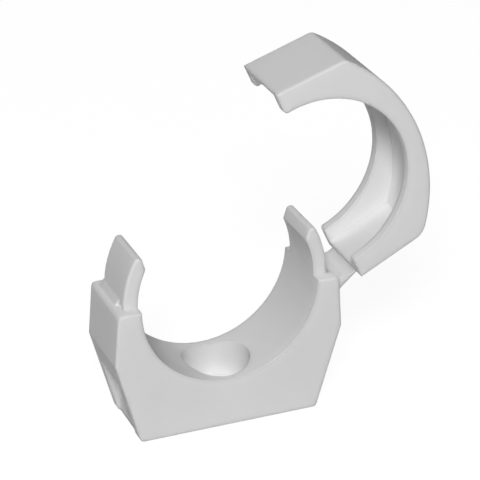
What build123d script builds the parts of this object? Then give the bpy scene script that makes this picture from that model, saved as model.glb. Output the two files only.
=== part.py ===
from build123d import *
import os
from math import cos, hypot, radians, sin

# Push-in clip that holds one water pipe off a wall, moulded in one piece with a hinged lid.
# X runs across the pipe, Y along it and Z out from the wall.
# The origin is the middle of the face that lies on the wall. All sizes are in millimetres.

# The pipe and the saddle that carries it
pipe_radius = 11.0
body_width = 9.7
pipe_height = 17.3
foot_half_width = 11.2
crease_half_width = 14.25
crease_height = 10.6
ledge_half_width = 13.8
ledge_height = 17.2
foot_rounding = 0.5
ledge_rounding = 0.6
edge_rounding = 0.3

# The two fingers that grip the pipe above its middle
finger_thickness = 1.7
finger_setback = 1.4
finger_grip_angle = 25.0
finger_tip_angle = 30.5
finger_tip_height = 6.1
finger_lead_in = 1.1
finger_root_angle = 12.0
finger_tip_rounding = 0.45

# The small wedge that centres the lid's free end
wedge_height = 0.8
wedge_reach = 0.5
wedge_front_gap = 2.9

# The screw's hole and the round recess for its head
screw_radius = 2.25
head_recess_radius = 4.1
head_recess_floor = 2.0

# The pockets that lighten both flanks
pocket_front_rim = 1.9
pocket_back_rim = 1.6
pocket_top = 7.3
pocket_wall_half_width = 10.95

# The lid, drawn closed and about its own pipe centre
lid_lift = 0.34
lid_end_gap = 0.22
lid_end_inset = 0.05
lid_free_side_lean = 0.8
lid_hinge_side_lean = 0.5
lid_shoulder_height = 8.7
lid_crown_height = 13.35
lid_free_shoulder_rounding = 1.1
lid_hinge_shoulder_rounding = 2.4
lid_tip_rounding = 0.4

# The hollow of the lid, between the two flanges that lie on the pipe
lid_wall = 0.8
hollow_side_clearance = 0.2
wedge_clearance = 0.25

# The strap that hinges the lid, placed from the outer edge of the ledge
strap_width = 6.4
strap_top_drop = 1.0
strap_root_drop = 3.1
film_length = 0.9
film_thickness = 0.3
hinge_overhang = 0.76
hinge_drop = 2.52
opening_angle = 65.3

# Shared results of the sizes above
finger_outer_radius = pipe_radius + finger_thickness
finger_width = body_width - 2 * finger_setback
hollow_width = finger_width + 2 * hollow_side_clearance
lid_centre_height = pipe_height + lid_lift
lid_end_drop = lid_centre_height - ledge_height - lid_end_gap
lid_end_half_width = ledge_half_width - lid_end_inset
free_shoulder = (lid_free_side_lean - lid_end_half_width, lid_shoulder_height)
hinge_shoulder = (lid_end_half_width - lid_hinge_side_lean, lid_shoulder_height)
strap_top = ledge_height - strap_top_drop
strap_root_low = ledge_height - strap_root_drop
hinge_x = ledge_half_width + hinge_overhang
hinge_z = ledge_height - hinge_drop
front_face = -body_width / 2
back_face = body_width / 2


def polar(radius, angle):
    """Point at a radius and an angle in degrees, counted from the +X side upwards."""
    return (radius * cos(radians(angle)), radius * sin(radians(angle)))


def slab(outline, width, middle=0.0):
    """Front-view outline given a width along the pipe, about a middle plane."""
    return Pos(0, middle, 0) * extrude(Plane.XZ * outline, width / 2, both=True)


def span(outline, start, end):
    """Front-view outline that reaches from one place along the pipe to another."""
    return slab(outline, end - start, (start + end) / 2)


def polygon(*corners):
    """Closed front-view outline with straight sides."""
    return make_face(Polyline(*corners, close=True))


def rims(body, width):
    """Edges of a slab's front and back faces."""
    edges = body.edges()
    front = edges.filter_by_position(Axis.Y, -width / 2, -width / 2)
    back = edges.filter_by_position(Axis.Y, width / 2, width / 2)
    return front + back


def rounded_slab(outline, width):
    """Slab whose outline edges are rounded at the front and back faces."""
    body = slab(outline, width)
    return fillet(rims(body, width), edge_rounding)


def flank_half_width(height):
    """Half width of the saddle at a height between its crease and its ledge."""
    share = (height - crease_height) / (ledge_height - crease_height)
    return crease_half_width + share * (ledge_half_width - crease_half_width)


def saddle_block():
    """Saddle with sloping flanks and a half-round seat."""
    outline = polygon(
        (-foot_half_width, 0),
        (foot_half_width, 0),
        (crease_half_width, crease_height),
        (ledge_half_width, ledge_height),
        (-ledge_half_width, ledge_height),
        (-crease_half_width, crease_height),
    )
    outline = fillet(outline.vertices().group_by(Axis.Y)[0], foot_rounding)
    outline = fillet(outline.vertices().group_by(Axis.Y)[-1], ledge_rounding)
    seat = Pos(0, pipe_height) * Circle(pipe_radius)
    return rounded_slab(outline, body_width) - slab(seat, body_width)


def finger():
    """Right-hand finger: the seat's wall carried on upwards, with a slanted lead-in."""
    tip_inner = polar(pipe_radius + finger_lead_in, finger_tip_angle)
    tip_outer_x = (finger_outer_radius**2 - finger_tip_height**2) ** 0.5
    tip_outer = (tip_outer_x, finger_tip_height)
    root_inner = polar(pipe_radius, -finger_root_angle)
    root_outer = polar(finger_outer_radius, -finger_root_angle)
    grip = polar(pipe_radius, finger_grip_angle)
    outline = make_face([
        RadiusArc(root_inner, grip, -pipe_radius),
        Line(grip, tip_inner),
        Line(tip_inner, tip_outer),
        RadiusArc(tip_outer, root_outer, finger_outer_radius),
        Line(root_outer, root_inner),
    ])
    outline = fillet(outline.vertices().sort_by(Axis.Y)[-2:], finger_tip_rounding)
    body = slab(outline, finger_width)
    outer_rims = rims(body, finger_width).filter_by(
        lambda edge: edge.center().Z > 0 and hypot(edge.center().X, edge.center().Z) > pipe_radius
    )
    return Pos(0, 0, pipe_height) * fillet(outer_rims, edge_rounding)


def centring_wedge():
    """Small wedge on the left-hand ledge, at the foot of the finger."""
    foot = finger_outer_radius + wedge_reach
    outline = polygon(
        (-foot, ledge_height),
        (-finger_outer_radius, ledge_height + wedge_height),
        (-pipe_radius - finger_thickness / 2, ledge_height + wedge_height),
        (-pipe_radius - finger_thickness / 2, ledge_height - wedge_reach),
        (-foot, ledge_height - wedge_reach),
    )
    return span(outline, front_face + wedge_front_gap, finger_width / 2)


def flank_pocket():
    """Right-hand pocket, open at the foot, with an upright inner wall."""
    outline = polygon(
        (pocket_wall_half_width, 0),
        (2 * crease_half_width, 0),
        (2 * crease_half_width, pocket_top),
        (pocket_wall_half_width, pocket_top),
    )
    return span(outline, front_face + pocket_front_rim, back_face - pocket_back_rim)


def strap_notch():
    """Lowered middle of the right-hand ledge, beside the finger, level with the strap."""
    outline = polygon(
        (finger_outer_radius, strap_top),
        (2 * ledge_half_width, strap_top),
        (2 * ledge_half_width, 2 * ledge_height),
        (finger_outer_radius, 2 * ledge_height),
    )
    return slab(outline, strap_width)


def screw_hole():
    """Hole for the screw, with a round recess for its head."""
    shank = extrude(Circle(screw_radius), pipe_height)
    head = Pos(0, 0, head_recess_floor) * extrude(Circle(head_recess_radius), pipe_height)
    return shank + head


def make_saddle_base():
    """Everything that stays on the wall."""
    right_finger = finger()
    right_pocket = flank_pocket()
    body = saddle_block() - strap_notch()
    body += right_finger + mirror(right_finger, about=Plane.YZ) + centring_wedge()
    return body - right_pocket - mirror(right_pocket, about=Plane.YZ) - screw_hole()


def lid_half_width(height, side_lean):
    """Half width of the closed lid at a height above the middle of its pipe, on one side."""
    share = (height + lid_end_drop) / (lid_shoulder_height + lid_end_drop)
    return lid_end_half_width - share * side_lean


def lid_outline(end_drop):
    """Closed lid about the middle of its pipe, its sides carried down to a drop below that."""
    hinge_end = (lid_half_width(-end_drop, lid_hinge_side_lean), -end_drop)
    free_end = (-lid_half_width(-end_drop, lid_free_side_lean), -end_drop)
    return make_face([
        Line(free_end, hinge_end),
        Line(hinge_end, hinge_shoulder),
        ThreePointArc(hinge_shoulder, (0, lid_crown_height), free_shoulder),
        Line(free_shoulder, free_end),
    ])


def lid_shell():
    """Outer form of the lid, with rounded shoulders."""
    outline = lid_outline(lid_end_drop)
    roundings = {free_shoulder: lid_free_shoulder_rounding, hinge_shoulder: lid_hinge_shoulder_rounding}
    for shoulder, rounding in roundings.items():
        outline = fillet(outline.vertices().sort_by_distance(shoulder)[0], rounding)
    return rounded_slab(outline, body_width)


def lid_bore():
    """Room for the pipe, wider at its mouth so that the flanges have round tips."""
    below = Rectangle(4 * pipe_radius, 4 * pipe_radius, align=(Align.CENTER, Align.MAX))
    outline = Circle(pipe_radius) + Pos(0, -lid_end_drop) * below
    tips = outline.vertices().sort_by(lambda corner: abs(corner.X))[:2]
    return slab(fillet(tips, lid_tip_rounding), body_width)


def lid_hollow():
    """Room inside the lid that leaves an even wall, open at the ends."""
    outline = offset(lid_outline(lid_end_drop + 2 * lid_wall), -lid_wall, kind=Kind.INTERSECTION)
    return slab(outline, hollow_width)


def wedge_relief():
    """Slanted relief inside the lid's left-hand end, over the centring wedge."""
    foot = finger_outer_radius + wedge_reach + wedge_clearance
    foot_height = ledge_height - lid_centre_height
    top_height = foot_height + wedge_height + wedge_clearance
    outline = polygon(
        (-foot, foot_height - lid_lift),
        (-foot, foot_height),
        (-finger_outer_radius, top_height),
        (-finger_outer_radius, foot_height - lid_lift),
    )
    return slab(outline, hollow_width)


def make_closed_lid():
    """Lid over the pipe, drawn about the middle of the pipe."""
    return lid_shell() - lid_bore() - lid_hollow() - wedge_relief()


def to_open(closed_shape):
    """Turn a closed shape about the hinge line, as the lid opens to the right."""
    to_hinge = Pos(-hinge_x, 0, lid_centre_height - hinge_z)
    return Pos(hinge_x, 0, hinge_z) * Rot(0, opening_angle, 0) * to_hinge * closed_shape


def opened(point):
    """Front-view point of the closed lid, where it lies once the lid is open."""
    x, z = point[0] - hinge_x, point[1] + lid_centre_height - hinge_z
    turn_cos, turn_sin = cos(radians(opening_angle)), sin(radians(opening_angle))
    return (hinge_x + x * turn_cos + z * turn_sin, hinge_z - x * turn_sin + z * turn_cos)


def make_hinge_strap():
    """Strap from the saddle's flank to the lid, thinned to a film where it meets the lid."""
    lid_corner = Vector(*opened((lid_end_half_width, -lid_end_drop)))
    lid_inside = Vector(*opened((pipe_radius, -lid_end_drop)))
    root_low = Vector(flank_half_width(strap_root_low), strap_root_low)
    root_top = Vector(flank_half_width(strap_top), strap_top)
    film_end = lid_corner + (lid_inside - lid_corner).normalized() * film_thickness
    film_direction = (root_low - lid_corner).normalized()
    film_start = Vector((film_end + film_direction * film_length).X, strap_top)
    outline = polygon(root_low, lid_corner, film_end, film_start, root_top)
    return slab(outline, strap_width)


nodes = {
    "saddle_base": make_saddle_base(),
    "hinged_lid": to_open(make_closed_lid()),
    "hinge_strap": make_hinge_strap(),
}

os.makedirs("parts", exist_ok=True)
for name, shape in nodes.items():
    export_step(shape, f"parts/{name}.step")
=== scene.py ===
import bmesh
import bpy
from math import cos, radians, sin
from mathutils import Matrix, Vector


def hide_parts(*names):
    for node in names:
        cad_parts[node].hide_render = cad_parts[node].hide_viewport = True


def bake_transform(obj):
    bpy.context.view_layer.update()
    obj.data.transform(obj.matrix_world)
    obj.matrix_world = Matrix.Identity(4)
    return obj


# The clip stands open on a pale floor, seen from the front left and from above.
# Lengths are written in millimetres and turned into metres by mm().

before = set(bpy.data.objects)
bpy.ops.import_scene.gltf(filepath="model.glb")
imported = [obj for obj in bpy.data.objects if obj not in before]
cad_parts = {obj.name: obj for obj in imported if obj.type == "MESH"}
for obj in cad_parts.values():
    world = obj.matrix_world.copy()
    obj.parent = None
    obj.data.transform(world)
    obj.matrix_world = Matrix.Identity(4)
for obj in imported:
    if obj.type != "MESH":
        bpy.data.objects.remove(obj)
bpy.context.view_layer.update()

# The view of the photograph, whose frame is square: angles in degrees
camera_azimuth = -22.8
camera_elevation = 26.5
camera_roll = 0.57
camera_distance = 259.8
camera_target = (3.29, 0.60, 21.40)
camera_lens = 166.4
camera_sensor = 36.0

# Soft lamps round the clip: azimuth and elevation in degrees, side in millimetres, and watts
lamps = {
    "main_lamp": (-25.5, 39.5, 190, 3.28),
    "upper_lamp": (-22, 60, 500, 0.35),
    "back_lamp": (172, 8, 500, 1.4),
}
lamp_distance = 700

# The surroundings and the floor: the floor's colour for bounced light, and its colour
# and glow as the camera sees it
surroundings_colour = (1, 1, 1, 1)
floor_bounced = (0.7, 0.7, 0.7, 1)
floor_seen = (0.15, 0.15, 0.15, 1)
floor_glow = 0.93
floor_half_size = 2000
floor_drop = 0.01

# The white plastic: soft clouds of tone and sheen, and fine grain from the mould
plastic_deep = 0.88
plastic_pale = 0.91
cloud_scale = 130
cloud_detail = 3
sheen_smooth = 0.48
sheen_rough = 0.6
grain_scale = 2500
grain_detail = 4
grain_strength = 0.08
grain_depth = 0.05
plastic_refraction = 1.49

# Its outer edges are rounded, rubbed a little duller, and darkened: partly wear, partly
# painted shade that tones down the light lines the rounded edges catch
edge_rounding = 0.25
worn_and_shaded_edge_tone = 0.8
worn_edge_roughness = 0.3
worn_and_shaded_edge_reach = 0.5
ray_samples = 8

# The edges of the round seat are sharper, up to a short way outside its radius
seat_middle = (0, 0, 17.3)
seat_radius = 11.0
seat_edge_rounding = 0.06
seat_edge_reach = 0.4

# How much of the light spreads in the plastic, and how far, the same for every colour
glow_share = 1.0
glow_reach = 0.8
glow_colours = (1, 1, 1)

# The strap, as the saddle and the lid leave room for it: points are x and z
strap_width = 6.4
strap_root_low = (14.01, 14.1)
strap_root_top = (13.87, 16.2)
strap_lid_corner = (16.72, 16.56)
film_thickness = 0.3
film_length = 0.9
straight_share = 0.5
opening_angle = 65.3
strap_steps_along = 24
strap_steps_across = 12
sharp_angle = 40


def mm(*values):
    """Millimetres as metres: one value, or a vector of several."""
    metres = [value / 1000 for value in values]
    return metres[0] if len(metres) == 1 else Vector(metres)


def direction(azimuth, elevation):
    """Unit vector from the clip towards a viewer, with azimuth 0 in front of it."""
    turn, tilt = radians(azimuth), radians(elevation)
    return Vector((sin(turn) * cos(tilt), -cos(turn) * cos(tilt), sin(tilt)))


def add_object(name, data):
    """New object in the scene."""
    made = bpy.data.objects.new(name, data)
    bpy.context.scene.collection.objects.link(made)
    return made


def add_camera():
    """Camera that looks at the clip as the photograph does."""
    turn, roll = radians(camera_azimuth), radians(camera_roll)
    back = direction(camera_azimuth, camera_elevation)
    level_right = Vector((cos(turn), sin(turn), 0))
    level_up = back.cross(level_right)
    right = level_right * cos(roll) + level_up * sin(roll)
    up = back.cross(right)
    camera = add_object("camera", bpy.data.cameras.new("camera"))
    camera.data.lens = camera_lens
    camera.data.sensor_width = camera_sensor
    facing = Matrix((right, up, back)).transposed().to_4x4()
    place = mm(*camera_target) + back * mm(camera_distance)
    camera.matrix_world = Matrix.Translation(place) @ facing
    bpy.context.scene.camera = camera


def add_lamp(name, azimuth, elevation, side, power):
    """Soft square lamp that faces the clip from one direction."""
    lamp = add_object(name, bpy.data.lights.new(name, "AREA"))
    lamp.data.shape = "SQUARE"
    lamp.data.size = mm(side)
    lamp.data.energy = power
    back = direction(azimuth, elevation)
    lamp.location = mm(*camera_target) + back * mm(lamp_distance)
    lamp.rotation_euler = back.to_track_quat("Z", "Y").to_euler()


def link(tree, start, end):
    """Join one node's output socket to another's input socket."""
    tree.links.new(start, end)


def add_world():
    """Plain surroundings that the camera sees and that light nothing."""
    world = bpy.data.worlds.new("surroundings")
    world.use_nodes = True
    bpy.context.scene.world = world
    tree = world.node_tree
    background = tree.nodes["Background"]
    background.inputs["Color"].default_value = surroundings_colour
    path = tree.nodes.new("ShaderNodeLightPath")
    link(tree, path.outputs["Is Camera Ray"], background.inputs["Strength"])


def matt_shade(tree, colour):
    """Matt colour."""
    matt = tree.nodes.new("ShaderNodeBsdfDiffuse")
    matt.inputs["Color"].default_value = colour
    return matt.outputs[0]


def glowing_shade(tree, colour, glow):
    """Matt colour that also gives off light of its own."""
    light = tree.nodes.new("ShaderNodeEmission")
    light.inputs["Strength"].default_value = glow
    both = tree.nodes.new("ShaderNodeAddShader")
    link(tree, matt_shade(tree, colour), both.inputs[0])
    link(tree, light.outputs[0], both.inputs[1])
    return both.outputs[0]


def floor_material():
    """Pale floor that shows white and keeps a faint shadow."""
    material = bpy.data.materials.new("floor")
    material.use_nodes = True
    tree = material.node_tree
    tree.nodes.clear()
    path = tree.nodes.new("ShaderNodeLightPath")
    mix = tree.nodes.new("ShaderNodeMixShader")
    link(tree, path.outputs["Is Camera Ray"], mix.inputs[0])
    link(tree, matt_shade(tree, floor_bounced), mix.inputs[1])
    link(tree, glowing_shade(tree, floor_seen, floor_glow), mix.inputs[2])
    output = tree.nodes.new("ShaderNodeOutputMaterial")
    link(tree, mix.outputs[0], output.inputs["Surface"])
    return material


def add_floor():
    """Large flat floor just under the clip's foot."""
    mesh = bpy.data.meshes.new("floor")
    edge = mm(floor_half_size)
    corners = [(-edge, -edge, 0), (edge, -edge, 0), (edge, edge, 0), (-edge, edge, 0)]
    mesh.from_pydata(corners, [], [(0, 1, 2, 3)])
    mesh.materials.append(floor_material())
    floor = add_object("floor", mesh)
    floor.location.z = -mm(floor_drop)


def noise(tree, scale, detail):
    """Noise that is fixed to the piece."""
    place = tree.nodes.new("ShaderNodeTexCoord")
    texture = tree.nodes.new("ShaderNodeTexNoise")
    texture.inputs["Scale"].default_value = scale
    texture.inputs["Detail"].default_value = detail
    link(tree, place.outputs["Object"], texture.inputs["Vector"])
    return texture.outputs["Fac"]


def between(tree, value, low, high, start=0, end=1):
    """Number that goes from low to high as a value goes from start to end."""
    scale = tree.nodes.new("ShaderNodeMapRange")
    scale.inputs["From Min"].default_value = start
    scale.inputs["From Max"].default_value = end
    scale.inputs["To Min"].default_value = low
    scale.inputs["To Max"].default_value = high
    link(tree, value, scale.inputs["Value"])
    return scale.outputs["Result"]


def combine(tree, operation, first, second):
    """Two numbers added or multiplied."""
    result = tree.nodes.new("ShaderNodeMath")
    result.operation = operation
    link(tree, first, result.inputs[0])
    link(tree, second, result.inputs[1])
    return result.outputs["Value"]


def away_from_edges(tree):
    """Number that is 1 on flat places and falls towards the outer edges."""
    depth = tree.nodes.new("ShaderNodeAmbientOcclusion")
    depth.inside = True
    depth.only_local = True
    depth.samples = ray_samples
    depth.inputs["Distance"].default_value = mm(worn_and_shaded_edge_reach)
    return depth.outputs["AO"]


def distance_from_seat_line(tree):
    """Distance from the line through the middle of the seat, along the pipe."""
    place = tree.nodes.new("ShaderNodeTexCoord")
    flat = tree.nodes.new("ShaderNodeVectorMath")
    flat.operation = "MULTIPLY_ADD"
    link(tree, place.outputs["Object"], flat.inputs[0])
    flat.inputs[1].default_value = (1, 0, 1)
    flat.inputs[2].default_value = -mm(*seat_middle)
    length = tree.nodes.new("ShaderNodeVectorMath")
    length.operation = "LENGTH"
    link(tree, flat.outputs["Vector"], length.inputs[0])
    return length.outputs["Value"]


def rounding(tree):
    """Radius of the softened edges, smaller at the seat."""
    distance = distance_from_seat_line(tree)
    start, end = mm(seat_radius), mm(seat_radius + seat_edge_reach)
    return between(tree, distance, mm(seat_edge_rounding), mm(edge_rounding), start, end)


def grained_surface(tree):
    """Surface direction with softened edges and the fine grain of the mould."""
    edges = tree.nodes.new("ShaderNodeBevel")
    edges.samples = ray_samples
    link(tree, rounding(tree), edges.inputs["Radius"])
    bump = tree.nodes.new("ShaderNodeBump")
    bump.inputs["Strength"].default_value = grain_strength
    bump.inputs["Distance"].default_value = mm(grain_depth)
    link(tree, noise(tree, grain_scale, grain_detail), bump.inputs["Height"])
    link(tree, edges.outputs["Normal"], bump.inputs["Normal"])
    return bump.outputs["Normal"]


def white_plastic():
    """Moulded white plastic that lets some light through."""
    material = bpy.data.materials.new("white_plastic")
    material.use_nodes = True
    tree = material.node_tree
    shader = tree.nodes["Principled BSDF"]
    clouds = noise(tree, cloud_scale, cloud_detail)
    flatness = away_from_edges(tree)
    tone = between(tree, clouds, plastic_deep, plastic_pale)
    # Painted shade along the outer edges, partly wear: darker there to tone down their
    # highlight
    worn_and_shaded = between(tree, flatness, worn_and_shaded_edge_tone, 1)
    link(tree, combine(tree, "MULTIPLY", tone, worn_and_shaded), shader.inputs["Base Color"])
    sheen = between(tree, clouds, sheen_smooth, sheen_rough)
    rubbed = between(tree, flatness, worn_edge_roughness, 0)
    link(tree, combine(tree, "ADD", sheen, rubbed), shader.inputs["Roughness"])
    link(tree, grained_surface(tree), shader.inputs["Normal"])
    shader.inputs["IOR"].default_value = plastic_refraction
    shader.inputs["Subsurface Weight"].default_value = glow_share
    shader.inputs["Subsurface Radius"].default_value = glow_colours
    shader.inputs["Subsurface Scale"].default_value = mm(glow_reach)
    return material


def strap_section(share):
    """Lower and upper point of the strap's section, from its root at 0 to the lid at 1."""
    root_low, root_top = Vector(strap_root_low), Vector(strap_root_top)
    corner = Vector(strap_lid_corner)
    end_face_turn = radians(opening_angle)
    end_face = Vector((-cos(end_face_turn), sin(end_face_turn)))
    film_end = corner + end_face * film_thickness
    film_start = film_end + (root_low - corner).normalized() * film_length
    film_start.y = root_top.y
    bend_start = root_top.lerp(film_start, straight_share)
    low = root_low.lerp(corner, share)
    if share < straight_share:
        return low, root_top.lerp(bend_start, share / straight_share)
    bend = (share - straight_share) / (1 - straight_share)
    high = bend_start.lerp(film_start, bend).lerp(film_start.lerp(film_end, bend), bend)
    return low, high


def strap_mesh():
    """Closed skin over rings that follow the strap's section along its length."""
    work = bmesh.new()
    across = [
        strap_width * (step / strap_steps_across - 0.5)
        for step in range(strap_steps_across + 1)
    ]
    rings = []
    for along in range(strap_steps_along + 1):
        low, high = strap_section(along / strap_steps_along)
        bottom = [work.verts.new(mm(low.x, y, low.y)) for y in across]
        top = [work.verts.new(mm(high.x, y, high.y)) for y in reversed(across)]
        rings.append(bottom + top)
    count = len(rings[0])
    for ring, following in zip(rings, rings[1:]):
        for i in range(count):
            j = (i + 1) % count
            work.faces.new((ring[i], ring[j], following[j], following[i]))
    work.faces.new(reversed(rings[0]))
    work.faces.new(rings[-1])
    bmesh.ops.recalc_face_normals(work, faces=work.faces)
    mesh = bpy.data.meshes.new("bending_strap")
    work.to_mesh(mesh)
    work.free()
    mesh.shade_smooth()
    mesh.set_sharp_from_angle(angle=radians(sharp_angle))
    return mesh


def add_strap(material):
    """Strap between the saddle and the lid, shown in place of the hinge_strap node."""
    mesh = strap_mesh()
    mesh.materials.append(material)
    strap = add_object("bending_strap", mesh)
    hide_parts("hinge_strap")
    film_end = strap_section(1)[1]
    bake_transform(strap)


def dress(node, material):
    """Give a rigid node the plastic."""
    node.data.materials.clear()
    node.data.materials.append(material)


add_camera()
add_world()
add_floor()
for name, (azimuth, elevation, side, power) in lamps.items():
    add_lamp(name, azimuth, elevation, side, power)
plastic = white_plastic()
for name in ("saddle_base", "hinged_lid"):
    dress(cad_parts[name], plastic)
add_strap(plastic)

bpy.context.scene.view_settings.view_transform = "Standard"
